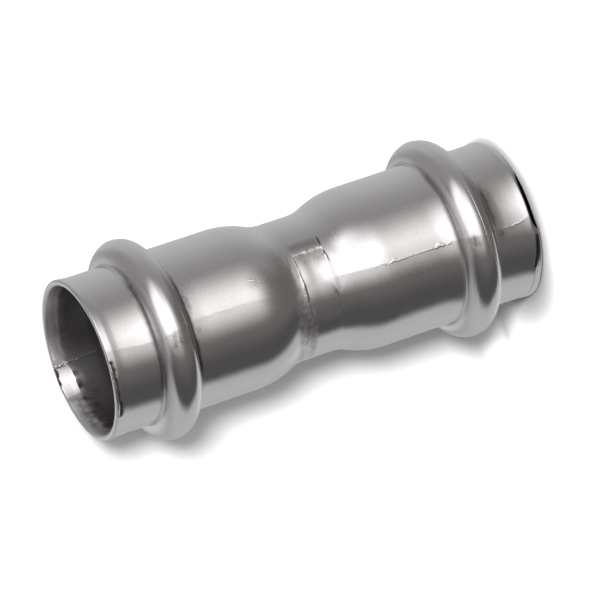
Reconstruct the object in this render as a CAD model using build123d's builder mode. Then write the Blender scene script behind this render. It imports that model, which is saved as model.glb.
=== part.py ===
from build123d import *
from math import acos, cos, degrees, radians, sin
import os

# Straight press coupling for thin-walled stainless pipe, in millimetres.
# It is one length of tube, drawn in at the middle and rolled out into a bead near each end.
# A rubber ring sits inside each bead. The coupling stands on its lower end, with its axis along Z.

# Pipe, and the socket that takes it
pipe_diameter = 18.0
socket_clearance = 0.2      # radial, from the pipe to the bore of the collar outside the bead
seat_relief = 0.12          # radial, how much wider the seat inside the bead is than the collar
wall = 0.95
socket_depth = 20.45        # from the rim to where the shoulder begins
rim_land = 0.45             # flat ring left on the rim between its two rounded edges

# Mouth of each socket, opened out so that the pipe finds its way in
flare_length = 2.0          # from the rim to where the collar starts to open
flare_angle = 4.5           # slope of the mouth
flare_bend = 6.0            # outside radius of the bend into the slope

# Seal ring, and the bead rolled to its size
seal_section = 2.65
seal_protrusion = 0.08      # radial, how far the ring stands into the collar's bore
seal_depth = 8.8            # from the rim to the middle of the ring
groove_play = 0.05          # how much larger the hollow's radius is than the ring's
crease_radius = 0.3         # outside radius where the bead meets the tube

# Neck, with its two shoulders
neck_drop = 1.47            # radial, from the outside of the seat to the outside of the neck
neck_length = 4.4
shoulder_angle = 24.0       # steepest slope of the shoulder
shoulder_share = 0.7        # part of the slope's height that bends outwards, the rest bends inwards

# Marks left on the neck by the rolls and by the marking die
roll_depth = 0.05
field_depth = 0.16
field_margin = 0.15         # from the end of the neck to the field
field_arc = 67.0
field_facing = -96.5        # middle of the field, in degrees from +X about Z

# Sizes that follow
bore_radius = pipe_diameter / 2 + socket_clearance
collar_radius = bore_radius + wall
seat_radius = collar_radius + seat_relief
neck_radius = seat_radius - neck_drop
rim_rounding = (wall - rim_land) / 2

seal_inner_radius = bore_radius - seal_protrusion
seal_radius = seal_section / 2
groove_radius = seal_radius + groove_play
bead_radius = groove_radius + wall
bead_crown = seal_inner_radius + seal_section + wall
seal_path_radius = seal_inner_radius + seal_radius

shoulder_radii = neck_drop / (1 - cos(radians(shoulder_angle)))
outer_bend = shoulder_share * shoulder_radii
inner_bend = shoulder_radii - outer_bend
shoulder_length = shoulder_radii * sin(radians(shoulder_angle))

fitting_length = neck_length + 2 * (shoulder_length + socket_depth)
seal_height = fitting_length / 2 - seal_depth


def crease_angle(tube_radius):
    # Turn from the tube's side into the bead's flank, for a bead that touches its crown
    return degrees(acos(1 - (bead_crown - tube_radius) / (bead_radius + crease_radius)))


def crease_offset(tube_radius):
    # Distance along the axis from the bead's middle to the start of its crease
    return (bead_radius + crease_radius) * sin(radians(crease_angle(tube_radius)))


def draw_skin(depth):
    # One side of the wall from mid length to the rim, at this depth under the outer surface
    seat_turn = crease_angle(seat_radius)
    collar_turn = crease_angle(collar_radius)
    seat_end = seal_height - crease_offset(seat_radius)
    neck = Line((neck_radius - depth, 0), (neck_radius - depth, neck_length / 2))
    rise = JernArc(neck @ 1, neck % 1, inner_bend + depth, -shoulder_angle)
    shoulder = JernArc(rise @ 1, rise % 1, outer_bend - depth, shoulder_angle)
    seat = Line(shoulder @ 1, (seat_radius - depth, seat_end))
    lower_crease = JernArc(seat @ 1, seat % 1, crease_radius + depth, -seat_turn)
    bead = JernArc(lower_crease @ 1, lower_crease % 1, bead_radius - depth, seat_turn + collar_turn)
    upper_crease = JernArc(bead @ 1, bead % 1, crease_radius + depth, -collar_turn)
    collar = Line(upper_crease @ 1, (collar_radius - depth, fitting_length / 2 - flare_length))
    opening = JernArc(collar @ 1, collar % 1, flare_bend + depth, -flare_angle)
    mouth_height = fitting_length / 2 - (opening @ 1).Y
    mouth = PolarLine(opening @ 1, mouth_height, direction=opening % 1, length_mode=LengthMode.VERTICAL)
    return neck, mouth


def axial_plane(angle):
    # Upright plane through the axis at mid length: x runs outwards at this angle, y runs up
    outwards = (cos(radians(angle)), sin(radians(angle)), 0)
    sideways = (sin(radians(angle)), -cos(radians(angle)), 0)
    return Plane(origin=(0, 0, fitting_length / 2), x_dir=outwards, z_dir=sideways)


def draw_neck_cut(depth, length):
    # Section of a shallow cut of this depth and length into the outside of the neck
    cut_radius = neck_radius - depth
    with Locations((cut_radius, 0)):
        Rectangle(seat_radius - cut_radius, length, align=(Align.MIN, Align.CENTER))


os.makedirs("parts", exist_ok=True)

# Fitting body: the formed tube
with BuildPart() as fitting_body:
    with BuildSketch(axial_plane(0)) as half_section:
        with BuildLine():
            outer_neck, outer_mouth = draw_skin(0)
            inner_neck, inner_mouth = draw_skin(wall)
            Line(outer_neck @ 0, inner_neck @ 0)
            Line(outer_mouth @ 1, inner_mouth @ 1)
        make_face()
        fillet(half_section.vertices().group_by(Axis.Y)[-1], radius=rim_rounding)
        mirror(about=Plane.XZ)
    revolve(axis=Axis.Z)

    # Track of the rolls all round the neck
    with BuildSketch(axial_plane(0)):
        draw_neck_cut(roll_depth, neck_length)
    revolve(axis=Axis.Z, mode=Mode.SUBTRACT)

    # Shallow field where the size is stamped, left blank
    with BuildSketch(axial_plane(field_facing - field_arc / 2)):
        draw_neck_cut(field_depth, neck_length - 2 * field_margin)
    revolve(axis=Axis.Z, revolution_arc=field_arc, mode=Mode.SUBTRACT)

fitting_body.part.label = "fitting_body"
export_step(fitting_body.part, "parts/fitting_body.step")

# Seal rings: one in the hollow of each bead
for name, side in (("upper_seal_ring", 1), ("lower_seal_ring", -1)):
    with BuildPart() as seal_ring:
        with BuildSketch(axial_plane(0)):
            with Locations((seal_path_radius, side * seal_height)):
                Circle(seal_radius)
        revolve(axis=Axis.Z)
    seal_ring.part.label = name
    export_step(seal_ring.part, f"parts/{name}.step")
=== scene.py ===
# Straight press fitting in stainless tube, standing on its lower end
import bpy
import numpy as np
from math import acos, cos, degrees, pi, radians, sin, tan
from mathutils import Matrix, Vector, noise


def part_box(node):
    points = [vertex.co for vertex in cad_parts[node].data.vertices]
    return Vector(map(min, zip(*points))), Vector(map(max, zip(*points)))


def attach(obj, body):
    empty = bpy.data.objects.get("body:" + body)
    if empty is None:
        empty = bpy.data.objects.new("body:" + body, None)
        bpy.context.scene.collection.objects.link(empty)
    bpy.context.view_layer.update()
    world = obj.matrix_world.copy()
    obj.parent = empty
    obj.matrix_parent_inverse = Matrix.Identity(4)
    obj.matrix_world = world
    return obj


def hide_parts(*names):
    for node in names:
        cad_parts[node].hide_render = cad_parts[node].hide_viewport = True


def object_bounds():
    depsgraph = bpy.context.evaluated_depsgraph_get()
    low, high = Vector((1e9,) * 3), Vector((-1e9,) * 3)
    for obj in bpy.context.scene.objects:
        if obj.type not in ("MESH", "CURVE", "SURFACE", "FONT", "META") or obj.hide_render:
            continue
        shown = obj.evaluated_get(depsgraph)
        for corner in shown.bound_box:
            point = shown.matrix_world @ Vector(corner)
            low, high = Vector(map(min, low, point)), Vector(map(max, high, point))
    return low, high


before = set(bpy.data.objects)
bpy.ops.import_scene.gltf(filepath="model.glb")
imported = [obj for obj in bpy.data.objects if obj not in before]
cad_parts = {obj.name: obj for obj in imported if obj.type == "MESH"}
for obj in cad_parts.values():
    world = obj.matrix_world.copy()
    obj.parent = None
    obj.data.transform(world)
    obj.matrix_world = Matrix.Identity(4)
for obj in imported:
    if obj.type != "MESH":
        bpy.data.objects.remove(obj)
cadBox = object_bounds()
mm = 0.001


def hexColour(code):
    # sRGB hex to the linear values that shaders take
    channels = [int(code[i:i + 2], 16) / 255 for i in (1, 3, 5)]
    return [c / 12.92 if c <= 0.04045 else ((c + 0.055) / 1.055) ** 2.4 for c in channels] + [1.0]


def addNode(tree, kind, links=None, **settings):
    # links gives an input, by name or number, a value or the output socket that feeds it
    node = tree.nodes.new(kind)
    for name, value in settings.items():
        setattr(node, name, value)
    for name, value in (links or {}).items():
        if isinstance(value, bpy.types.NodeSocket):
            tree.links.new(value, node.inputs[name])
        else:
            node.inputs[name].default_value = value
    return node


def newMaterial(name):
    material = bpy.data.materials.new(name)
    material.use_nodes = True
    material.node_tree.nodes.clear()
    return material, material.node_tree


def smoothStep(low, high, value):
    t = np.clip((value - low) / (high - low), 0, 1)
    return t * t * (3 - 2 * t)


def addMesh(name, points, edges, faces, attributes=None):
    # attributes gives every point a number, or a vector, under each name
    mesh = bpy.data.meshes.new(name)
    mesh.from_pydata(points, edges, faces)
    for title, values in (attributes or {}).items():
        values = np.asarray(values, dtype=np.float32)
        if values.ndim == 1:
            mesh.attributes.new(title, "FLOAT", "POINT").data.foreach_set("value", values)
        else:
            mesh.attributes.new(title, "FLOAT_VECTOR", "POINT").data.foreach_set("vector", values.ravel())
    mesh.polygons.foreach_set("use_smooth", [True] * len(mesh.polygons))
    piece = bpy.data.objects.new(name, mesh)
    bpy.context.scene.collection.objects.link(piece)
    return piece


def newGeometryTree(name, inputs):
    # inputs is a list of (name, kind of socket)
    tree = bpy.data.node_groups.new(name, "GeometryNodeTree")
    tree.interface.new_socket("Geometry", in_out="INPUT", socket_type="NodeSocketGeometry")
    for title, kind in inputs:
        tree.interface.new_socket(title, in_out="INPUT", socket_type="NodeSocket" + kind)
    tree.interface.new_socket("Geometry", in_out="OUTPUT", socket_type="NodeSocketGeometry")
    return tree, addNode(tree, "NodeGroupInput").outputs


def applyTree(piece, tree, values):
    # Runs the tree on the piece with these inputs and keeps the result as a plain mesh
    modifier = piece.modifiers.new(tree.name, "NODES")
    modifier.node_group = tree
    for item in tree.interface.items_tree:
        if item.in_out == "INPUT" and item.name in values:
            modifier[item.identifier] = values[item.name]
    shaped = piece.evaluated_get(bpy.context.evaluated_depsgraph_get())
    mesh = bpy.data.meshes.new_from_object(shaped)
    piece.modifiers.clear()
    piece.data = mesh


# Camera
# The fitting stands up, and the camera is rolled so that it lies aslant in the picture
camera = {
    "elevation": 21.41,
    "distance": 671.3 * mm,      # from the plane through the middle of the fitting
    "roll": 108.72,
    "lens": 327.4,
    "shiftRight": 0.708 * mm,    # from the middle of the fitting to the middle of the picture
    "shiftUp": -1.426 * mm,
}
tilt = radians(camera["elevation"])
roll = radians(camera["roll"])
middle = Vector((0, 0, cadBox[1][2] / 2))
sideways = Vector((1, 0, 0))
upwards = Vector((0, sin(tilt), cos(tilt)))
towards = Vector((0, -cos(tilt), sin(tilt)))
pictureRight = cos(roll) * sideways - sin(roll) * upwards
pictureUp = sin(roll) * sideways + cos(roll) * upwards
aim = middle + camera["shiftRight"] * pictureRight + camera["shiftUp"] * pictureUp
cameraObject = bpy.data.objects.new("camera", bpy.data.cameras.new("camera"))
cameraObject.data.lens = camera["lens"]
cameraObject.data.sensor_width = 36
axes = Matrix((pictureRight, pictureUp, towards)).transposed()
cameraObject.matrix_world = Matrix.Translation(aim + camera["distance"] * towards) @ axes.to_4x4()
bpy.context.scene.collection.objects.link(cameraObject)
bpy.context.scene.camera = cameraObject
bpy.context.scene.view_settings.view_transform = "Standard"
print("camera", [round(x, 4) for x in cameraObject.location])

# Stainless steel, drawn tube that was bulged, pickled and lightly polished
# A grey satin metal with soft-edged reflections, fine grain and faint lines round the drawn ends
# The attribute scuff says where it is scratched and dull, or polished where it is below zero
# The attribute wear says where it is finely pitted; another attribute darkens it where pickling left it dark
# That darkening is also painted shade in creases, cracks and a nick, and painted dark reflections
steel = {
    "colour": "#c7c5c5",
    "dimColour": "#c0bebe",      # in the hollows of the grain
    "wearColour": "#7c7674",     # in scratches and pits
    # for pickling dirt, and for painted shade and painted dark reflections
    "soilAndShadeColour": "#100e0d",
    "roughness": 0.14,
    "roughnessSpread": 0.04,
    "scuffRoughness": 0.40,
    "grain": 0.16 * mm,          # coarser than real, so that it shows
    "grainHeight": 0.0013 * mm,
    "grainSpread": (0.35, 0.65),  # levels of the grain's noise between which the colour changes
    "lineSpacing": 0.16 * mm,
    "lineStretch": 0.06,         # how far the lines are drawn out round the tube, smaller is longer
    "lineHeight": 0.0011 * mm,
    "scratchHeight": 0.007 * mm,
    "wave": 5.0 * mm,
    "waveHeight": 0.014 * mm,
    "patch": 2.5 * mm,
    "patchSpread": (0.3, 0.7),
    "pitSpread": (1.1, 0.8),     # of the grain's and the lines' noise added up, down to the deepest pits
}
steelMaterial, tree = newMaterial("brushed stainless steel")
place = addNode(tree, "ShaderNodeTexCoord").outputs["Object"]
scuff = addNode(tree, "ShaderNodeAttribute", attribute_name="scuff").outputs["Fac"]
wear = addNode(tree, "ShaderNodeAttribute", attribute_name="wear").outputs["Fac"]
soil = addNode(tree, "ShaderNodeAttribute", attribute_name="soil").outputs["Fac"]
wave = addNode(tree, "ShaderNodeTexNoise", {"Vector": place, "Scale": 1 / steel["wave"], "Detail": 2.5})
around = addNode(tree, "ShaderNodeMapping", {
    "Vector": place, "Scale": (steel["lineStretch"], steel["lineStretch"], 1.0)})
lines = addNode(tree, "ShaderNodeTexNoise",
                {"Vector": around.outputs[0], "Scale": 1 / steel["lineSpacing"], "Detail": 2.0})
grain = addNode(tree, "ShaderNodeTexNoise", {"Vector": place, "Scale": 1 / steel["grain"], "Detail": 3.0})
patches = addNode(tree, "ShaderNodeTexNoise", {"Vector": place, "Scale": 1 / steel["patch"], "Detail": 4.0})
deepened = addNode(tree, "ShaderNodeMath", {0: scuff, 1: steel["scratchHeight"]}, operation="MULTIPLY")
lineHeight = addNode(tree, "ShaderNodeMath", {0: deepened.outputs[0], 1: steel["lineHeight"]},
                     operation="ADD")
layers = [(wave, steel["waveHeight"]), (lines, lineHeight.outputs[0]), (grain, steel["grainHeight"])]
bump = None
for texture, distance in layers:
    links = {"Height": texture.outputs["Fac"], "Distance": distance, "Strength": 1.0}
    if bump:
        links["Normal"] = bump.outputs["Normal"]
    bump = addNode(tree, "ShaderNodeBump", links)
dullness = addNode(tree, "ShaderNodeMapRange", {
    "Value": patches.outputs["Fac"],
    "From Min": steel["patchSpread"][0], "From Max": steel["patchSpread"][1],
    "To Min": steel["roughness"] - steel["roughnessSpread"],
    "To Max": steel["roughness"] + steel["roughnessSpread"]})
roughness = addNode(tree, "ShaderNodeMapRange", {
    "Value": scuff, "To Min": dullness.outputs[0], "To Max": steel["scuffRoughness"]}, clamp=False)
grainShade = addNode(tree, "ShaderNodeMapRange", {
    "Value": grain.outputs["Fac"],
    "From Min": steel["grainSpread"][0], "From Max": steel["grainSpread"][1]})
clean = addNode(tree, "ShaderNodeMix", {
    "Factor": grainShade.outputs[0], 6: hexColour(steel["dimColour"]), 7: hexColour(steel["colour"])},
    data_type="RGBA")
unevenness = addNode(tree, "ShaderNodeMath", {0: grain.outputs["Fac"], 1: lines.outputs["Fac"]},
                     operation="ADD")
pits = addNode(tree, "ShaderNodeMapRange", {
    "Value": unevenness.outputs[0], "From Min": steel["pitSpread"][0], "From Max": steel["pitSpread"][1]})
pitCover = addNode(tree, "ShaderNodeMath", {0: wear, 1: pits.outputs[0]},
                   operation="MULTIPLY", use_clamp=True)
marked = addNode(tree, "ShaderNodeMix", {
    "Factor": pitCover.outputs[0], 6: clean.outputs[2], 7: hexColour(steel["wearColour"])}, data_type="RGBA")
# Darkens for pickling dirt, and as painted shade and painted dark reflections
soiled = addNode(tree, "ShaderNodeMix", {
    "Factor": soil, 6: marked.outputs[2], 7: hexColour(steel["soilAndShadeColour"])}, data_type="RGBA")
shader = addNode(tree, "ShaderNodeBsdfPrincipled", {
    "Base Color": soiled.outputs[2], "Metallic": 1.0, "Roughness": roughness.outputs[0],
    "Normal": bump.outputs["Normal"]})
addNode(tree, "ShaderNodeOutputMaterial", {"Surface": shader.outputs[0]})

# Seal rubber, moulded EPDM, a matt black with a faint bloom
rubber = {"colour": "#1b1b1c", "roughness": 0.55, "grain": 0.2 * mm, "grainHeight": 0.004 * mm}
rubberMaterial, tree = newMaterial("moulded EPDM rubber")
place = addNode(tree, "ShaderNodeTexCoord").outputs["Object"]
grain = addNode(tree, "ShaderNodeTexNoise", {"Vector": place, "Scale": 1 / rubber["grain"], "Detail": 3.0})
bump = addNode(tree, "ShaderNodeBump", {"Height": grain.outputs["Fac"], "Distance": rubber["grainHeight"],
                                        "Strength": 1.0})
shader = addNode(tree, "ShaderNodeBsdfPrincipled", {
    "Base Color": hexColour(rubber["colour"]), "Roughness": rubber["roughness"],
    "Normal": bump.outputs["Normal"]})
addNode(tree, "ShaderNodeOutputMaterial", {"Surface": shader.outputs[0]})

# Pickling smut and painted shade, a dull brown-black film that stays in cracks and creases
# Along the rim's crack and the field's creased edges it is painted shade
smut = {"colour": "#3a3431", "metallic": 0.6, "roughness": 0.6}
smutMaterial, tree = newMaterial("pickling smut")
shader = addNode(tree, "ShaderNodeBsdfPrincipled", {
    "Base Color": hexColour(smut["colour"]), "Metallic": smut["metallic"], "Roughness": smut["roughness"]})
addNode(tree, "ShaderNodeOutputMaterial", {"Surface": shader.outputs[0]})
print("materials", len(bpy.data.materials))

# The pressed tube, with the same sizes as its solid
tube = {
    "length": 59.1316 * mm,
    "bore": 9.2 * mm,
    "wall": 0.95 * mm,
    "seatRelief": 0.12 * mm,
    "sealSection": 2.65 * mm,
    "sealProtrusion": 0.08 * mm,
    "sealDepth": 8.8 * mm,
    "groovePlay": 0.05 * mm,
    "creaseRadius": 0.3 * mm,
    "rimLand": 0.45 * mm,
    "flareLength": 2.0 * mm,
    "flareAngle": 4.5,
    "flareBend": 6.0 * mm,
    "neckLength": 4.4 * mm,
    "neckBand": 1.8 * mm,        # from mid length, where the rows come closer for the field's edge
    "neckDrop": 1.47 * mm,
    "shoulderAngle": 24.0,
    "shoulderShare": 0.7,
    "seatBand": 2.4 * mm,        # before the bead, where the rows come closer for the rise of the seat
}
collarRadius = tube["bore"] + tube["wall"]
seatRadius = collarRadius + tube["seatRelief"]
neckRadius = seatRadius - tube["neckDrop"]
beadRadius = tube["sealSection"] / 2 + tube["groovePlay"] + tube["wall"]
beadCrown = tube["bore"] - tube["sealProtrusion"] + tube["sealSection"] + tube["wall"]
rimRounding = (tube["wall"] - tube["rimLand"]) / 2
halfLength = tube["length"] / 2

# Rows of points along each stretch of the wall, from mid length to the rim
upperRows = {"band": 6, "bandEdge": 8, "concave": 13, "convex": 9, "seat": 9, "seatEnd": 10, "crease": 5,
             "bead": 22, "collar": 10, "flare": 2, "mouth": 10, "rounding": 5}
lowerRows = {"band": 6, "bandEdge": 8, "concave": 11, "convex": 10, "seat": 9, "seatEnd": 8, "crease": 5,
             "bead": 30, "collar": 12, "flare": 2, "mouth": 14, "rounding": 5}
innerRows = {"band": 2, "bandEdge": 1, "concave": 4, "convex": 4, "seat": 4, "seatEnd": 1, "crease": 3,
             "bead": 8, "collar": 5, "flare": 5, "mouth": 14, "rounding": 4}


def drawPath(start, moves):
    # Points of a tangent chain in (radius, height), setting out along the axis
    # A run is ("run", height to reach, steps) and a bend is ("bend", radius, outward turn in degrees, steps)
    points = [start]
    heading = 0.0
    for kind, size, *rest in moves:
        r, z = points[-1]
        if kind == "run":
            steps = rest[0]
            run = size - z
            rise = run * tan(radians(heading))
            points += [(r + rise * (i + 1) / steps, z + run * (i + 1) / steps) for i in range(steps)]
            continue
        turn, steps = rest
        side = 1 if turn > 0 else -1
        for i in range(steps):
            angle = radians(heading + turn * (i + 1) / steps)
            points.append((r + size * (cos(radians(heading)) - cos(angle)) * side,
                           z + size * (sin(angle) - sin(radians(heading))) * side))
        heading += turn
    return points


def drawSkin(depth, rows):
    # One face of the wall, this deep under the outer one, from mid length to the flat of the rim
    flank = beadRadius + tube["creaseRadius"]
    seatTurn = degrees(acos(1 - (beadCrown - seatRadius) / flank))
    collarTurn = degrees(acos(1 - (beadCrown - collarRadius) / flank))
    bends = tube["neckDrop"] / (1 - cos(radians(tube["shoulderAngle"])))
    seatEnd = halfLength - tube["sealDepth"] - flank * sin(radians(seatTurn))
    flare = tube["flareAngle"]
    outwards = 1 if depth else -1
    roundingStart = halfLength - rimRounding * (1 - outwards * sin(radians(flare)))
    return drawPath((neckRadius - depth, 0), [
        ("run", tube["neckBand"], rows["band"]),
        ("run", tube["neckLength"] / 2, rows["bandEdge"]),
        ("bend", bends * (1 - tube["shoulderShare"]) + depth, tube["shoulderAngle"], rows["concave"]),
        ("bend", bends * tube["shoulderShare"] - depth, -tube["shoulderAngle"], rows["convex"]),
        ("run", seatEnd - tube["seatBand"], rows["seat"]),
        ("run", seatEnd, rows["seatEnd"]),
        ("bend", tube["creaseRadius"] + depth, seatTurn, rows["crease"]),
        ("bend", beadRadius - depth, -seatTurn - collarTurn, rows["bead"]),
        ("bend", tube["creaseRadius"] + depth, collarTurn, rows["crease"]),
        ("run", halfLength - tube["flareLength"], rows["collar"]),
        ("bend", tube["flareBend"] + depth, flare, rows["flare"]),
        ("run", roundingStart, rows["mouth"]),
        ("bend", rimRounding, outwards * 90 - flare, rows["rounding"]),
    ])


def drawSection():
    # Closed outline of the wall, up the outside and back down the inside, with the number of outside points
    lowerOutside = [(r, -z) for r, z in drawSkin(0, lowerRows)]
    outside = lowerOutside[:0:-1] + drawSkin(0, upperRows)
    upperInside = drawSkin(tube["wall"], innerRows)
    inside = upperInside[::-1] + [(r, -z) for r, z in upperInside[1:]]
    return np.array(outside + inside) + (0, halfLength), len(outside)


def spreadColumns(stretches):
    # Directions round the axis, from stretches of (start, end, count) in degrees from -Y towards +X
    return np.concatenate([np.linspace(low, high, count, endpoint=False) for low, high, count in stretches])


# How far the real tube strays from the drawn shape, and how its surface is marked
# Heights are measured down from the upper rim, and facings are degrees from -Y towards +X
strays = {
    "waist": 0.10 * mm,          # the collars are drawn in between rim and bead
    "collarRise": 0.16 * mm,     # the lower collar rises to its bead
    "collarRiseReach": 3.6 * mm,
    "beadBlend": (0.3 * mm, 1.0 * mm),    # past the crease, where both rises end
    "crownTurn": 5.0,            # the beads' crowns lean towards the lower end
    "crownReach": 0.6 * mm,
    "edgeEase": 6.5,             # the upper rim's outer edge is eased off on the seam's side
    "edgeEaseReach": 0.9 * mm,
    "seatRise": (0.10 * mm, 0.20 * mm),   # the upper and the lower seat rise to the beads
    "seatRiseReach": 2.5 * mm,
    "ridge": 0.035 * mm,         # the tube is slightly peaked along its seam
    "ridgeReach": 0.5 * mm,
    "swell": 0.024 * mm,         # unevenness left by the presses
    "swellLength": 6.0 * mm,
    "deburr": 10.0,              # degrees by which the mouth's inside opens further at the rims
    "deburrBreak": 1.2 * mm,     # where it reaches deeper than this, it is steeper there
    "deburrSteeper": 5.0,
    "deburrBlend": (1.3, 0.3),   # length in mm of the soft end of the deburring, and between blendSides
    "blendSides": (172, 212),
    "jawRidge": 0.05 * mm,       # line left inside by the gap between the expanding jaws
    "jawReach": 12 * mm,
}
field = {
    "depth": 0.12 * mm,          # of the blank marking field, under the track of the rolls
    "track": 0.03 * mm,
    "trackEdge": 0.3 * mm,
    "trackSlope": 1.5 * mm,      # added to the track's edge at the softer lower end
    "reach": 2.05 * mm,          # from mid length to either end
    "sides": (-40.0, 26.0),
    "sideFades": (14.0, 1.7),    # degrees over which the low and the high side end
    "edge": 0.16 * mm,
    "sharper": 0.06 * mm,        # taken off the upper end's edge, and twice this past the middle
    "slope": 1.4 * mm,           # length of the softer lower end, between the softSides
    "softSides": (-17.0, 22.0),
    "softBlend": 16.0,
    "ragged": 0.5 * mm,          # size of the unevenness along the edges
    "shallower": 0.35,           # share of the depth lost towards the upper end, twice this past the middle
    "burr": 0.04 * mm,           # edge thrown up along its upper end
    "burrWidth": 0.14 * mm,
    "burrSides": (-36.0, 28.0),
}
# Paths down the tube, as (down in mm, facing)
seamPath = [(0.0, -0.5), (5.5, -3.5), (8.8, -1.5), (12.0, 1.2), (17.5, 0.8), (22.5, -0.4), (29.5, -1.2),
            (38.8, -4.4), (47.5, -4.4), (53.6, -6.6), (56.0, -7.2), (59.1, -3.6)]
jawPath = [(0.0, 177.8), (1.0, 178.6), (2.7, 177.2), (6.7, 176.2), (10.0, 177.0)]
# Depth of the deburring round the mouth, as (facing, reach in mm)
deburrPath = [(150, 1.7), (174, 1.2), (191, 2.8), (208, 1.8), (236, 2.3), (262, 1.7)]
rimNick = {"path": [(0.3, -9), (0.45, -15), (0.38, -20), (0.56, -27), (0.46, -34), (0.6, -42), (0.56, -49)],
           "width": 0.24 * mm, "depth": 0.12 * mm}
lowerBevel = {
    "sides": (-74.0, 150.0), "sideBlend": 24.0, "width": 1.05 * mm, "slope": 20.0,
    "darkSides": (-17.0, 34.0), "darkWidth": 0.95 * mm, "thickest": 2.0,
    "lift": 0.28 * mm, "liftSides": (-26.0, 150.0),
    "wedge": [(58.62, -20), (58.45, -30), (58.25, -37), (58.05, -43)], "wedgeWidth": 0.3 * mm,
}
# Painted shade lines in creases, as (down in mm, half width in mm, darkness, facings between which it lies)
# The broad line below the lower bead is painted dark reflection
creaseLines = [(6.32, 0.15, 0.75, -50, 52), (11.47, 0.21, 0.93, -45, 44), (47.86, 0.15, 0.6, -24, 60),
               (53.25, 0.5, 0.75, -14, 34), (58.03, 0.07, 0.5, -82, -44)]

# Places worn rough or stained, as (down in mm, facing, reach in mm, reach in degrees, wear, darkness)
blotches = [(8.4, -7, 0.8, 6, 0.8, 0.2), (12.2, -6, 0.5, 3, 0.5, 0.0), (12.6, 25, 0.8, 5, 0.3, 0.0),
            (49.2, -8, 0.7, 4, 0.9, 0.3), (53.9, -10.5, 0.4, 2.5, 0.8, 0.5), (42.0, -15, 1.6, 6, 0.3, 0.05),
            (20.8, 13, 0.9, 5, 0.3, 0.12), (37.0, -16, 0.7, 5, 0.4, 0.1),
            # The two with no wear below the lower bead, at facing 6, are painted dark reflection
            (11.9, 14, 0.35, 9, 0.7, 0.3), (53.9, 6, 1.1, 20, 0.0, 0.5), (55.0, 6, 1.6, 20, 0.0, 0.2),
            (33.5, 30, 1.0, 6, 0.4, 0.1), (26.2, 20, 0.8, 9, 0.5, 0.05)]


def between(low, high, blend, value):
    # One between low and high, falling to nothing over this blend inside each
    return smoothStep(low, low + blend, value) * (1 - smoothStep(high - blend, high, value))


def followPath(path, down):
    # Facing of a given path at this distance down from the upper rim
    facing = np.full_like(down, path[-1][1])
    for (a, fromFacing), (b, toFacing) in reversed(list(zip(path, path[1:]))):
        facing = np.where(down <= b, fromFacing + (toFacing - fromFacing) * smoothStep(a, b, down), facing)
    return facing


def strokeDistance(stroke, down, facing):
    # Distance over the surface from a stroke of (down, facing) corners
    nearest = np.full_like(down, 1.0)
    x = np.radians(facing) * collarRadius
    for (downA, facingA), (downB, facingB) in zip(stroke, stroke[1:]):
        start = np.array([radians(facingA) * collarRadius, downA * mm])
        step = np.array([radians(facingB) * collarRadius, downB * mm]) - start
        t = np.clip(((x - start[0]) * step[0] + (down - start[1]) * step[1]) / (step @ step), 0, 1)
        nearest = np.minimum(nearest, np.hypot(x - start[0] - t * step[0], down - start[1] - t * step[1]))
    return nearest


def swell(height, facing, length):
    # Smooth unevenness of about one either way
    turned = np.radians(facing)
    x = collarRadius * np.sin(turned) / length
    y = -collarRadius * np.cos(turned) / length
    flat = zip(x.ravel(), y.ravel(), (height / length).ravel())
    return np.array([noise.noise(Vector(place)) for place in flat]).reshape(height.shape)


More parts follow.
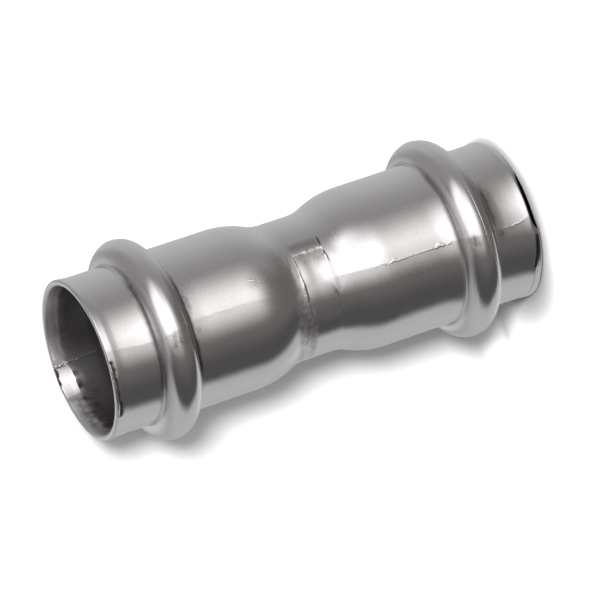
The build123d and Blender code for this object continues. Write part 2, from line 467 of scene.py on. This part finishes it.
def outsideRelief(height, facing):
    # How far the outside is pressed in at this place
    down = tube["length"] - height
    lower = height < halfLength
    fromMiddle = np.abs(height - halfLength)
    fromRim = halfLength - fromMiddle
    # Roll track and marking field on the neck
    soft = lower * between(*field["softSides"], field["softBlend"], facing)
    trackEdge = field["trackEdge"] + field["trackSlope"] * soft
    depth = field["track"] * (1 - smoothStep(0, trackEdge, fromMiddle - tube["neckLength"] / 2))
    low, high = field["sides"]
    lowFade, highFade = field["sideFades"]
    edge = field["edge"] + field["slope"] * soft
    edge -= field["sharper"] * (1 + smoothStep(-4, 4, facing)) * (1 - lower)
    along = 1 - smoothStep(field["reach"] - edge, field["reach"], fromMiddle)
    ragged = swell(height, facing, field["ragged"])
    across = smoothStep(low, low + lowFade, facing)
    across *= 1 - smoothStep(high - highFade, high, facing + 1.2 * ragged)
    shallower = field["shallower"] * (1 + smoothStep(-4, 6, facing))
    across *= 1 - shallower * smoothStep(0, 1.5 * mm, height - halfLength)
    depth += field["depth"] * along * across
    # The burr wavers a little along the upper end, and stands highest near its middle
    fromBurr = height - halfLength - field["reach"] - (0.10 + 0.06 * ragged) * mm
    thrown = np.exp(-(fromBurr / field["burrWidth"]) ** 2)
    thrown *= 0.5 + 0.7 * ragged + 1.5 * between(-16, 8, 7, facing)
    depth -= field["burr"] * thrown * between(*field["burrSides"], 8, facing)
    # Collars, and the seats where they meet the beads
    collarEnd = tube["sealDepth"] - beadRadius - tube["creaseRadius"]
    t = np.clip(fromRim / collarEnd, 0, 1)
    depth += strays["waist"] * 4 * t * (1 - t) * (0.55 + 0.45 * t)
    beyond = fromRim - collarEnd
    nearCollar = np.clip(1 + beyond / strays["collarRiseReach"], 0, 1) * lower
    nearCollar *= 1 - smoothStep(*strays["beadBlend"], beyond)
    depth -= strays["collarRise"] * nearCollar ** 2 * (0.6 + 0.4 * between(-30, 45, 20, facing))
    fromBead = fromRim - 2 * tube["sealDepth"] + collarEnd
    nearBead = np.clip(1 - fromBead / strays["seatRiseReach"], 0, 1)
    nearBead *= 1 - smoothStep(*strays["beadBlend"], -fromBead)
    depth -= np.where(lower, strays["seatRise"][1], strays["seatRise"][0]) * nearBead ** 2
    fromCrown = height - halfLength - np.where(lower, -1, 1) * (halfLength - tube["sealDepth"])
    depth -= tan(radians(strays["crownTurn"])) * fromCrown * np.exp(-(fromCrown / strays["crownReach"]) ** 2)
    eased = np.clip(strays["edgeEaseReach"] - down, 0, 1) * between(-30, 50, 15, facing)
    depth += tan(radians(strays["edgeEase"])) * eased
    # Seam
    seamOffset = np.radians(facing - followPath(seamPath, down / mm)) * collarRadius
    offNeck = 1 - smoothStep(0, 1.5 * mm, tube["neckLength"] / 2 + 0.5 * mm - fromMiddle)
    depth -= strays["ridge"] * np.exp(-np.abs(seamOffset) / strays["ridgeReach"]) * offNeck
    # Marks at the rims
    nickWidth = rimNick["width"] * 1.6
    depth += rimNick["depth"] * (1 - smoothStep(0, nickWidth, strokeDistance(rimNick["path"], down, facing)))
    cut = np.clip(lowerBevel["width"] - height, 0, 1) * tan(radians(lowerBevel["slope"]))
    depth += cut * between(*lowerBevel["sides"], lowerBevel["sideBlend"], facing)
    return depth + strays["swell"] * swell(height, facing, strays["swellLength"])


def insideRelief(height, facing):
    # How far the inside is opened out at this place
    down = tube["length"] - height
    fromRim = halfLength - np.abs(height - halfLength)
    reach = mm * np.interp(facing % 360, *zip(*deburrPath))
    softest, sharpest = strays["deburrBlend"]
    blend = (softest - (softest - sharpest) * between(*strays["blendSides"], 9, facing % 360)) * mm
    opened = np.where(fromRim < reach - blend, reach - blend / 2 - fromRim,
                      np.clip(reach - fromRim, 0, 1) ** 2 / (2 * blend))
    offset = np.radians((facing - followPath(jawPath, down / mm) + 180) % 360 - 180) * tube["bore"]
    ridge = strays["jawRidge"] * np.exp(-np.abs(offset) / strays["ridgeReach"]) * (down < strays["jawReach"])
    # The shift of 0.1 takes the inside's unevenness from another part of the noise than the outside's
    uneven = strays["swell"] * swell(height + 0.1, facing, strays["swellLength"] / 2)
    steeper = np.clip(reach - np.maximum(fromRim, strays["deburrBreak"]), 0, 1)
    steepened = tan(radians(strays["deburrSteeper"])) * steeper
    return tan(radians(strays["deburr"])) * opened + steepened - ridge + uneven


def placePoints(r, height, facing):
    turned = np.radians(facing)
    return np.stack([r * np.sin(turned), -r * np.cos(turned), height], axis=-1)


# The columns stand closest where the photo's side is, then where the mouth's inside is seen
section, outsideCount = drawSection()
columns = spreadColumns([(-52, 38, 122), (38, 160, 56), (160, 212, 58), (212, 308, 40)])
height, facing = np.meshgrid(section[:, 1], (columns + 180) % 360 - 180)
radius = np.broadcast_to(section[:, 0], height.shape).copy()
outer = np.broadcast_to(np.arange(len(section)) < outsideCount, height.shape)
radius -= np.where(outer, outsideRelief(height, facing), -insideRelief(height, facing))
down = tube["length"] - height
fromRim = np.minimum(down, height)

# The lower rim is dented upwards on its bevelled side
lift = lowerBevel["lift"] * between(*lowerBevel["liftSides"], lowerBevel["sideBlend"], facing)
height = height + lift * np.clip(1 - height / lowerBevel["width"], 0, 1)

# Scratched band above the marking field, the field's rough near side, dull rims and creases, and blotches
# The band's start and end are in mm from mid length, and shift between these facings
band = {"start": 1.95, "startShift": -0.7, "startSides": (-12, -24),
        "end": 3.1, "endShift": 1.1, "endSides": (0, -15), "sides": (-80, 28)}
fromField = (height - halfLength) / mm
patchy = 0.8 + swell(height, facing, 0.7 * mm)
bandEnd = band["end"] + band["endShift"] * smoothStep(*band["endSides"], facing)
bandStart = band["start"] + band["startShift"] * smoothStep(*band["startSides"], facing)
scratched = smoothStep(bandStart, bandStart + 0.2, fromField)
scratched *= 1 - smoothStep(bandEnd - 0.5, bandEnd + 0.2, fromField)
scratched *= between(*band["sides"], 8, facing) * patchy
stamped = between(-2.1, 2.1, 0.3, fromField) * between(12, 29, 6, facing) * patchy
topEdge = between(-2.1, 2.2, 0.3, fromField) * between(22.5, 28.5, 2, facing) * patchy
rimDull = 0.6 * (1 - smoothStep(0.1 * mm, 0.5 * mm, fromRim))
intoBead = np.abs(fromRim - tube["sealDepth"]) - beadRadius - tube["creaseRadius"]
creaseDull = 0.8 * (1 - smoothStep(0.3 * mm, 0.75 * mm, np.abs(intoBead + 0.35 * mm)))
worn = np.zeros_like(height)
stained = np.zeros_like(height)
for placeDown, placeFacing, reachDown, reachFacing, pitting, soiling in blotches:
    apart = np.hypot((down / mm - placeDown) / reachDown, (facing - placeFacing) / reachFacing)
    blotch = (1 - smoothStep(0.2, 1.4, apart + (0.1 + 0.5 * pitting) * (patchy - 0.8))) * outer
    worn = np.maximum(worn, pitting * blotch)
    # Stains, and painted dark reflection where there is no wear
    stained = np.maximum(stained, soiling * blotch)

# Inside the near mouth: dull, with one polished place on the deburring, and darker streaks around it
# Starts and ends are in mm from the rim, and sides in degrees all round from the front
mouth = {"polishedSides": (177.5, 207), "clearSides": (168, 209), "streak": 0.9 * mm,
         "wear": 0.4, "wearReach": (0.6, 4.5), "soil": 0.5, "soilAndShadeReach": (0.25, 3.4),
         "foldSoil": 0.2, "foldDown": 3.0, "foldFacing": 201, "foldReach": (0.8, 11)}
turned = facing % 360
into = down / mm
deburrEnd = np.interp(turned, *zip(*deburrPath))
polished = between(*mouth["polishedSides"], 1.5, turned) * smoothStep(0.1, 0.2, into)
polished *= 1 - smoothStep(-0.4, -0.15, into - deburrEnd)
mottled = between(0.1, 2.6, 1.2, into) * (patchy - 0.8)
insideDull = 0.75 + 0.3 * (1 - smoothStep(1.2, 3.2, into)) + 0.2 * between(160, 235, 24, turned) * (into < 8)
insideDull = np.maximum(insideDull, rimDull) * np.clip(1 + 0.7 * mottled, 0.55, 1.4)
squeezed = np.where(turned > 190, 3, 0.35) * facing   # streaks are thin on one side and broad on the other
streaky = np.clip(0.45 + 1.6 * swell(height, squeezed, mouth["streak"]), 0, 1)
streaky *= (1 - between(*mouth["clearSides"], 8, turned)) * (0.55 + 0.45 * smoothStep(180, 200, turned))
insideWear = mouth["wear"] * streaky * between(*mouth["wearReach"], 1.0, into)
foldDown, foldAside = mouth["foldReach"]
folded = np.hypot((into - mouth["foldDown"] - 0.05 * (turned - 196)) / foldDown,
                  (turned - mouth["foldFacing"]) / foldAside) + 0.7 * (patchy - 0.8)
# The streaks' darkening is partly pickling dirt and partly painted shade
insideSoil = np.maximum(mouth["foldSoil"] * (1 - smoothStep(0.3, 1.2, folded)) * (1 - polished),
                        mouth["soil"] * streaky * between(*mouth["soilAndShadeReach"], 0.8, into))
insideDull = insideDull * (1 - polished) - 0.3 * polished
outsideDull = np.maximum.reduce(
    [0.9 * scratched, 0.6 * stamped, 0.8 * topEdge, rimDull, creaseDull, 0.8 * worn])
outsideWear = np.maximum.reduce([0.35 * scratched, 0.35 * stamped, topEdge, 0.5 * rimDull, worn])
scuffs = np.where(outer, outsideDull, insideDull)
wears = np.where(outer, outsideWear, insideWear)

# Painted dark reflection as a crescent on the lower rim's bevel, and a dark wedge beside it
darkLow, darkHigh = lowerBevel["darkSides"]
thickest = lowerBevel["thickest"]
taper = (facing - thickest) / np.where(facing > thickest, darkHigh - thickest, darkLow - thickest)
crescentWidth = lowerBevel["darkWidth"] * np.clip(1 - taper ** 4, 0, 1)
soils = 1 - smoothStep(-0.04 * mm, 0.04 * mm, height - crescentWidth)
wedge = strokeDistance(lowerBevel["wedge"], down, facing) / lowerBevel["wedgeWidth"]
soils = np.maximum(soils, 0.8 * (1 - smoothStep(0.7, 1.1, wedge)))
# Painted shade in the creases
for lineDown, halfWidth, amount, fromFacing, toFacing in creaseLines:
    creased = 1 - smoothStep(0.3, 1.5, np.abs(down / mm - lineDown) / (halfWidth * (0.76 + 0.3 * patchy)))
    soils = np.maximum(soils, amount * creased * between(fromFacing, toFacing, 16, facing))
# Painted shade in the rim's nick
fromNick = strokeDistance(rimNick["path"], down, facing) / rimNick["width"]
nicked = 1 - smoothStep(0.4, 1.0, fromNick + 1.2 * (patchy - 0.8))
soils = np.maximum(soils, 0.9 * nicked)
# Darker above the field's high side, and faintly over the stamped field
aboveField = between(26, 38, 5, facing) * between(-2.6, 2.6, 1.2, fromField)
soils = np.maximum.reduce([soils, stained, 0.3 * aboveField, 0.1 * stamped])
soils = np.where(outer, soils, insideSoil)

rows = len(section)
points = placePoints(radius, height, facing).reshape(-1, 3)
faces = []
for i in range(len(columns)):
    j = (i + 1) % len(columns)
    for k in range(rows):
        m = (k + 1) % rows
        faces.append((i * rows + k, j * rows + k, j * rows + m, i * rows + m))
body = addMesh("pressed_tube", points.tolist(), [], faces, {
    "scuff": scuffs.ravel(), "wear": wears.ravel(), "soil": soils.ravel()})
body.data.materials.append(steelMaterial)
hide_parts("fitting_body")
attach(body, "root")
print("pressed tube", len(points), "points", 2 * len(faces), "triangles")

# Seal rings, drawn round a circle by one tree
ring = {"sides": 48, "columns": 240}
ringTree, given = newGeometryTree("seal ring", [("Path", "Float"), ("Section", "Float"), ("Height", "Float"),
                                                ("Material", "Material")])
path = addNode(ringTree, "GeometryNodeCurvePrimitiveCircle",
               {"Resolution": ring["columns"], "Radius": given["Path"]})
profile = addNode(ringTree, "GeometryNodeCurvePrimitiveCircle",
                  {"Resolution": ring["sides"], "Radius": given["Section"]})
swept = addNode(ringTree, "GeometryNodeCurveToMesh",
                {"Curve": path.outputs[0], "Profile Curve": profile.outputs[0]})
lifted = addNode(ringTree, "ShaderNodeCombineXYZ", {"Z": given["Height"]})
raised = addNode(ringTree, "GeometryNodeTransform",
                 {"Geometry": swept.outputs[0], "Translation": lifted.outputs[0]})
realized = addNode(ringTree, "GeometryNodeRealizeInstances", {"Geometry": raised.outputs[0]})
finished = addNode(ringTree, "GeometryNodeSetMaterial",
                   {"Geometry": realized.outputs[0], "Material": given["Material"]})
addNode(ringTree, "NodeGroupOutput", {"Geometry": finished.outputs[0]})
for node, name in (("upper_seal_ring", "upper_seal"), ("lower_seal_ring", "lower_seal")):
    low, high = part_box(node)
    piece = addMesh(name, [], [], [])
    applyTree(piece, ringTree, {
        "Path": tube["bore"] - tube["sealProtrusion"] + tube["sealSection"] / 2,
        "Section": tube["sealSection"] / 2, "Height": (low.z + high.z) / 2, "Material": rubberMaterial})
    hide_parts(node)
    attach(piece, "root")
print("seal rings", len(piece.data.polygons), "faces")

# Fine marks, each a chain of small beads sunk in the surface so that only a low lens shows
markTree, given = newGeometryTree("surface marks", [
    ("Spacing", "Float"), ("Length", "Float"), ("Width", "Float"), ("Height", "Float"),
    ("Unevenness", "Float"), ("Seed", "Int"), ("Material", "Material")])
chain = addNode(markTree, "GeometryNodeMeshToCurve", {"Mesh": given["Geometry"]})
spaced = addNode(markTree, "GeometryNodeResampleCurve",
                 {"Curve": chain.outputs[0], "Length": given["Spacing"]}, mode="LENGTH")
outward = addNode(markTree, "GeometryNodeInputNamedAttribute", {"Name": "outward"}, data_type="FLOAT_VECTOR")
size = addNode(markTree, "GeometryNodeInputNamedAttribute", {"Name": "size"}, data_type="FLOAT")
upright = addNode(markTree, "FunctionNodeAlignRotationToVector", {"Vector": outward.outputs[0]}, axis="Z")
lengthwise = addNode(markTree, "FunctionNodeAlignRotationToVector", {
    "Rotation": upright.outputs[0], "Vector": addNode(markTree, "GeometryNodeInputTangent").outputs[0]},
    axis="X", pivot_axis="Z")
least = addNode(markTree, "ShaderNodeMath", {0: 1.0, 1: given["Unevenness"]}, operation="SUBTRACT")
most = addNode(markTree, "ShaderNodeMath", {0: 1.0, 1: given["Unevenness"]}, operation="ADD")
drawn = addNode(markTree, "FunctionNodeRandomValue", {
    2: least.outputs[0], 3: most.outputs[0], "Seed": given["Seed"]}, data_type="FLOAT")
factor = addNode(markTree, "ShaderNodeMath", {0: size.outputs[0], 1: drawn.outputs[1]}, operation="MULTIPLY")
extent = addNode(markTree, "ShaderNodeCombineXYZ",
                 {"X": given["Length"], "Y": given["Width"], "Z": given["Height"]})
scaled = addNode(markTree, "ShaderNodeVectorMath", {0: extent.outputs[0], "Scale": factor.outputs[0]},
                 operation="SCALE")
# A ball one across, sunk by 0.3 of it, and none where the size falls to nothing
ball = addNode(markTree, "GeometryNodeMeshIcoSphere", {"Radius": 0.5, "Subdivisions": 2})
bead = addNode(markTree, "GeometryNodeTransform", {"Geometry": ball.outputs[0], "Translation": (0, 0, -0.3)})
shown = addNode(markTree, "FunctionNodeCompare", {0: size.outputs[0], 1: 0.05}, operation="GREATER_THAN")
placed = addNode(markTree, "GeometryNodeInstanceOnPoints", {
    "Points": spaced.outputs[0], "Selection": shown.outputs[0], "Instance": bead.outputs[0],
    "Rotation": lengthwise.outputs[0], "Scale": scaled.outputs[0]})
realized = addNode(markTree, "GeometryNodeRealizeInstances", {"Geometry": placed.outputs[0]})
rounded = addNode(markTree, "GeometryNodeSetShadeSmooth", {"Geometry": realized.outputs[0]})
finished = addNode(markTree, "GeometryNodeSetMaterial", {"Geometry": rounded.outputs[0],
                                                         "Material": given["Material"]})
addNode(markTree, "NodeGroupOutput", {"Geometry": finished.outputs[0]})


def surfacePoints(down, facing, inside=False):
    # Places on the tube's surface, and the directions that it faces there, from small steps up and round
    height = tube["length"] - down
    skin = section[outsideCount:][::-1] if inside else section[:outsideCount]

    def locate(h, f):
        r = np.interp(h, skin[:, 1], skin[:, 0])
        r += insideRelief(h, f) if inside else -outsideRelief(h, f)
        return placePoints(r, h, f)

    place = locate(height, facing)
    step = 0.05 * mm
    rise = locate(height + step, facing) - place
    turn = locate(height, facing + 0.3) - place
    out = np.cross(turn, rise)
    out /= np.linalg.norm(out, axis=1)[:, None]
    return place, -out if inside else out


def addMarks(name, strokes, kind, material):
    # strokes are lists of (down in mm, facing, size), with points at least every 0.1 mm and every degree
    points, outs, sizes, edges = [], [], [], []
    for stroke in strokes:
        corners = np.array(stroke, dtype=float)
        steps = max(2, int(np.ptp(corners[:, 0]) / 0.1), int(np.ptp(corners[:, 1]) / 1.0))
        t = np.linspace(0, len(corners) - 1, steps * (len(corners) - 1) + 1)
        down, facing, size = [np.interp(t, np.arange(len(corners)), corners[:, i]) for i in range(3)]
        place, out = surfacePoints(down * mm, facing, kind["inside"])
        first = len(points)
        points += place.tolist()
        outs += out.tolist()
        sizes += size.tolist()
        edges += [(first + i, first + i + 1) for i in range(len(place) - 1)]
    piece = addMesh(name, points, edges, [], {"outward": outs, "size": sizes})
    applyTree(piece, markTree, {
        "Spacing": kind["spacing"], "Length": kind["length"], "Width": kind["width"],
        "Height": kind["height"], "Unevenness": kind["unevenness"], "Seed": kind["seed"],
        "Material": material})
    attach(piece, "root")
    print(name, len(piece.data.polygons), "faces")


# Sizes down the tube, as (down in mm, size), none where the seam is smooth
seamSizes = [(0.4, 0.2), (2, 0.3), (5.5, 0.2), (5.6, 0), (12.4, 0), (12.5, 0.3), (20, 0.2), (22, 0),
             (35.5, 0), (36.5, 0.4), (40, 1.0), (42, 0.5), (45, 1.1), (47, 1.2), (47.2, 0), (54.0, 0),
             (54.4, 0.5), (56.4, 0.8), (57.9, 0.3)]
jawSizes = [(0.15, 0.5), (0.8, 0.9), (2.2, 0.8), (3.2, 0.4), (7.0, 0.25)]
ripples = {"spacing": 0.10 * mm, "length": 0.7 * mm, "width": 0.40 * mm, "height": 0.08 * mm,
           "unevenness": 0.22, "seed": 3, "inside": False}
jawBurr = {"spacing": 0.22 * mm, "length": 0.5 * mm, "width": 0.36 * mm, "height": 0.26 * mm,
           "unevenness": 0.6, "seed": 5, "inside": True}
burrs = {"spacing": 0.07 * mm, "length": 0.5 * mm, "width": 0.26 * mm, "height": 0.11 * mm,
         "unevenness": 0.2, "seed": 4, "inside": False}
beadRidge = {"spacing": 0.12 * mm, "length": 0.8 * mm, "width": 0.34 * mm, "height": 0.08 * mm,
             "unevenness": 0.15, "seed": 6, "inside": False}
cracks = {"spacing": 0.06 * mm, "length": 0.3 * mm, "width": 0.11 * mm, "height": 0.04 * mm,
          "unevenness": 0.6, "seed": 8, "inside": False}
burrStrokes = [
    [(27.64, 26, 0.5), (27.55, 17, 0.4), (27.45, 8, 0.8), (27.45, -2, 1.2), (27.5, -12, 1.0),
     (27.5, -18, 0.3)],
    [(31.86, -1, 0.5), (32.0, -12, 0.6), (32.1, -24, 0.5)],
    [(0.08, -6, 0.5), (0.1, -15, 0.9), (0.12, -28, 1.1), (0.22, -44, 0.8)],
    [(0.62, -15, 0.3), (0.66, -20, 0.9), (0.6, -23, 0.4)],
    [(20.2, 15.8, 0.5), (20.7, 14.6, 1.1), (21.3, 13.2, 0.6), (21.9, 12.2, 0.3)],
    [(58.1, -15, 0.3), (58.05, -20, 0.8), (57.85, -32, 0.7), (57.7, -41, 0.5)],
    [(58.55, -41, 0.4), (58.4, -50, 1.0), (58.4, -62, 0.6)],
    [(31.45, 24, 0.6), (31.5, 19, 1.2), (31.6, 15, 0.6)],
]
ridgeStrokes = [
    [(50.7, 44, 0.3), (50.78, 35, 0.8), (50.9, 14, 1.0), (51.0, -9, 1.0), (51.5, -37, 0.7), (51.7, -46, 0.2)],
]
crackStrokes = [
    [(0.3, -9, 1.0), (0.45, -15, 2.6), (0.38, -20, 1.2), (0.56, -27, 3.0), (0.46, -34, 1.4), (0.6, -42, 3.0),
     (0.56, -49, 1.2)],
    [(31.66, 36, 0.6), (31.62, 32, 2.2), (31.6, 28, 1.4)],
    [(31.55, 22.5, 0.8), (31.66, 17, 2.0), (31.74, 12.5, 0.6)],
    [(27.72, 0, 0.5), (27.66, -6, 1.3), (27.7, -13, 0.8)],
]
chips = {**cracks, "inside": True}
chipStrokes = [
    [(0.06, 180, 1.4), (0.16, 184, 2.6), (0.08, 187, 1.6), (0.14, 191, 2.4), (0.1, 194, 0.6)],
]


waver = {"step": 0.25, "length": 0.9, "turn": 1.8}   # step and length in mm, turn in degrees


def alongPath(path, sizes):
    # One stroke down the tube that wavers about a given path, in place and in size
    down = np.arange(sizes[0][0], sizes[-1][0], waver["step"])
    wavering = np.array([noise.noise(Vector((d / waver["length"], 0, 0))) for d in down])
    size = np.interp(down, *zip(*sizes))
    return list(zip(down, followPath(path, down) + waver["turn"] * wavering, size * (1 + wavering)))


addMarks("weld_seam", [alongPath(seamPath, seamSizes)], ripples, steelMaterial)
addMarks("jaw_line", [alongPath(jawPath, jawSizes)], jawBurr, steelMaterial)
addMarks("edge_burrs", burrStrokes, burrs, steelMaterial)
addMarks("bead_ridge", ridgeStrokes, beadRidge, steelMaterial)
# Painted shade as dark lines along the rim's crack and the field's edges
addMarks("crease_smut", crackStrokes, cracks, smutMaterial)
addMarks("rim_chips", chipStrokes, chips, smutMaterial)

# Stage: a pale floor that curves up close behind the fitting, seen through from behind
# Level parts carry a contact shade that changes from the fitting's -X side to its +X side
stage = {
    "wall": 13.5 * mm, "curve": 3 * mm, "curveSteps": 16, "reach": 1.5,
    "wallColour": "#aaaaaa", "floorColour": "#ebebeb",
    "shadeReach": (8 * mm, 2 * mm), "reachSides": (-12 * mm, 8 * mm),
    "shadePower": (2.4, 1.5), "powerSides": (-12 * mm, 0.0),   # a higher power is darker
    "curveShade": 0.85,                  # openness that counts as full, because the curve shades itself
    "shadeEnd": (-18 * mm, -13.5 * mm),  # beyond the -X side, where it fades out
}
sweepPath = [(-stage["reach"], 0)]
for i in range(stage["curveSteps"] + 1):
    angle = pi / 2 * i / stage["curveSteps"]
    sweepPath.append((stage["wall"] - stage["curve"] + stage["curve"] * sin(angle),
                      stage["curve"] - stage["curve"] * cos(angle)))
sweepPath.append((stage["wall"], stage["reach"]))
sweepPoints = [(x, y, z) for y, z in sweepPath for x in (-stage["reach"], stage["reach"])]
sweepFaces = [(2 * i, 2 * i + 1, 2 * i + 3, 2 * i + 2) for i in range(len(sweepPath) - 1)]
paper, tree = newMaterial("white studio paper")
surface = addNode(tree, "ShaderNodeNewGeometry")
level = addNode(tree, "ShaderNodeSeparateXYZ", {"Vector": surface.outputs["Normal"]})
paperShade = addNode(tree, "ShaderNodeMix", {
    "Factor": level.outputs["Z"], 6: hexColour(stage["wallColour"]), 7: hexColour(stage["floorColour"])},
    data_type="RGBA")
across = addNode(tree, "ShaderNodeSeparateXYZ", {"Vector": surface.outputs["Position"]}).outputs["X"]


def changeAcross(sides, values, **settings):
    # A value that changes along X from the first side to the second
    return addNode(tree, "ShaderNodeMapRange", {
        "Value": across, "From Min": sides[0], "From Max": sides[1],
        "To Min": values[0], "To Max": values[1]}, **settings).outputs[0]


contact = addNode(tree, "ShaderNodeAmbientOcclusion", {
    "Distance": changeAcross(stage["reachSides"], stage["shadeReach"])}, samples=12)
openOnly = addNode(tree, "ShaderNodeMapRange", {
    "Value": contact.outputs["AO"], "From Max": stage["curveShade"]})
darkened = addNode(tree, "ShaderNodeMath", {
    0: openOnly.outputs[0], 1: changeAcross(stage["powerSides"], stage["shadePower"])}, operation="POWER")
beside = changeAcross(stage["shadeEnd"], (0.0, 1.0), interpolation_type="SMOOTHSTEP")
shaded = addNode(tree, "ShaderNodeMath", {0: level.outputs["Z"], 1: beside}, operation="MULTIPLY")
openness = addNode(tree, "ShaderNodeMapRange", {
    "Value": shaded.outputs[0], "To Min": 1.0, "To Max": darkened.outputs[0]})
paperColour = addNode(tree, "ShaderNodeVectorMath", {
    0: paperShade.outputs[2], "Scale": openness.outputs[0]}, operation="SCALE")
paperShader = addNode(tree, "ShaderNodeBsdfDiffuse", {"Color": paperColour.outputs[0]})
clear = addNode(tree, "ShaderNodeBsdfTransparent")
oneSided = addNode(tree, "ShaderNodeMixShader",
                   {0: surface.outputs["Backfacing"], 1: paperShader.outputs[0], 2: clear.outputs[0]})
addNode(tree, "ShaderNodeOutputMaterial", {"Surface": oneSided.outputs[0]})
sweep = addMesh("paper_sweep", sweepPoints, [], sweepFaces)
sweep.data.materials.append(paper)
sweep.visible_glossy = False

# Surroundings that the steel mirrors: a dim room with soft panels, and white that only the camera sees
# Directions are in degrees, azimuth from -Y towards +X and elevation above the horizon
# Each panel is its name, then azimuth, width and soft width of the sides, then elevation, height and
# soft width of the ends, then linear colour
room = (0.225, 0.213, 0.21)
panels = [
    ("top light", 20, 200, 60, 84, 40, 24, (0.75, 0.74, 0.73)),
    ("right wall", 120, 160, 30, 0, 110, 30, (0.43, 0.43, 0.425)),
    ("right wall, back half", 155, 120, 70, -20, 70, 30, (0.72, 0.72, 0.72)),
    ("black screen", -90, 76, 34, 0, 140, 20, (0.125, 0.122, 0.122)),
    ("left wall", -142, 91, 18, -2, 134, 30, (0.74, 0.74, 0.74)),
    ("left wall, back end", -172, 50, 40, 0, 110, 30, (0.55, 0.55, 0.55)),
    ("back light", 184, 26, 24, 18, 24, 20, (1.15, 1.15, 1.15)),
    ("pale floor", -146, 46, 16, -56, 40, 16, (0.9, 0.9, 0.9)),
    ("window glow", 14, 66, 30, 12, 112, 30, (0.36, 0.345, 0.335)),
    ("window", 12.5, 47, 56, 19, 90, 36, (2.4, 2.34, 2.34)),
    ("window top", 34, 42, 26, 36, 56, 34, (2.0, 1.95, 1.95)),
]
world = bpy.data.worlds.new("studio")
world.use_nodes = True
tree = world.node_tree
tree.nodes.clear()
direction = addNode(tree, "ShaderNodeSeparateXYZ",
                    {"Vector": addNode(tree, "ShaderNodeTexCoord").outputs["Generated"]})
backwards = addNode(tree, "ShaderNodeMath", {0: direction.outputs["Y"], 1: -1.0}, operation="MULTIPLY")
azimuth = addNode(tree, "ShaderNodeMath", {0: direction.outputs["X"], 1: backwards.outputs[0]},
                  operation="ARCTAN2")
elevation = addNode(tree, "ShaderNodeMath", {0: direction.outputs["Z"]}, operation="ARCSINE")
light = addNode(tree, "ShaderNodeRGB").outputs[0]
light.default_value = (*room, 1.0)
for name, *spans, colour in panels:
    masks = []
    for angle, centre, span, edge in ((azimuth, *spans[:3]), (elevation, *spans[3:])):
        offset = addNode(tree, "ShaderNodeMath", {0: angle.outputs[0], 1: radians(centre)},
                         operation="SUBTRACT")
        wrapped = addNode(tree, "ShaderNodeMath", {0: offset.outputs[0], 1: pi, 2: -pi}, operation="WRAP")
        distance = addNode(tree, "ShaderNodeMath", {0: wrapped.outputs[0]}, operation="ABSOLUTE")
        half = radians(span / 2)
        soft = radians(edge / 2)
        masks.append(addNode(tree, "ShaderNodeMapRange", {
            "Value": distance.outputs[0], "From Min": half - soft, "From Max": half + soft,
            "To Min": 1.0, "To Max": 0.0}, interpolation_type="SMOOTHSTEP"))
    mask = addNode(tree, "ShaderNodeMath", {0: masks[0].outputs[0], 1: masks[1].outputs[0]},
                   operation="MULTIPLY", label=name)
    light = addNode(tree, "ShaderNodeMix", {"Factor": mask.outputs[0], 6: light, 7: (*colour, 1.0)},
                    data_type="RGBA").outputs[2]
rays = addNode(tree, "ShaderNodeLightPath")
mirrored = addNode(tree, "ShaderNodeBackground", {"Color": light, "Strength": 1.0})
plain = addNode(tree, "ShaderNodeBackground", {"Color": (1.0, 1.0, 1.0, 1.0), "Strength": 1.0})
mixed = addNode(tree, "ShaderNodeMixShader",
                {0: rays.outputs["Is Camera Ray"], 1: mirrored.outputs[0], 2: plain.outputs[0]})
addNode(tree, "ShaderNodeOutputWorld", {"Surface": mixed.outputs[0]})
bpy.context.scene.world = world

# Lamp that throws the fitting's shadow on the paper
shadowLamp = {"elevation": 23.0, "azimuth": 11.0, "strength": 6.6, "size": 12.5}
lamp = bpy.data.lights.new("shadow lamp", "SUN")
lamp.energy = shadowLamp["strength"]
lamp.angle = radians(shadowLamp["size"])
lampObject = bpy.data.objects.new("shadow lamp", lamp)
above = radians(shadowLamp["elevation"])
aside = radians(shadowLamp["azimuth"])
fromLamp = Vector((sin(aside) * cos(above), -cos(aside) * cos(above), sin(above)))
lampObject.rotation_euler = fromLamp.to_track_quat("Z", "Y").to_euler()
lampObject.location = fromLamp
lampObject.visible_glossy = False
bpy.context.scene.collection.objects.link(lampObject)
print("stage and light")
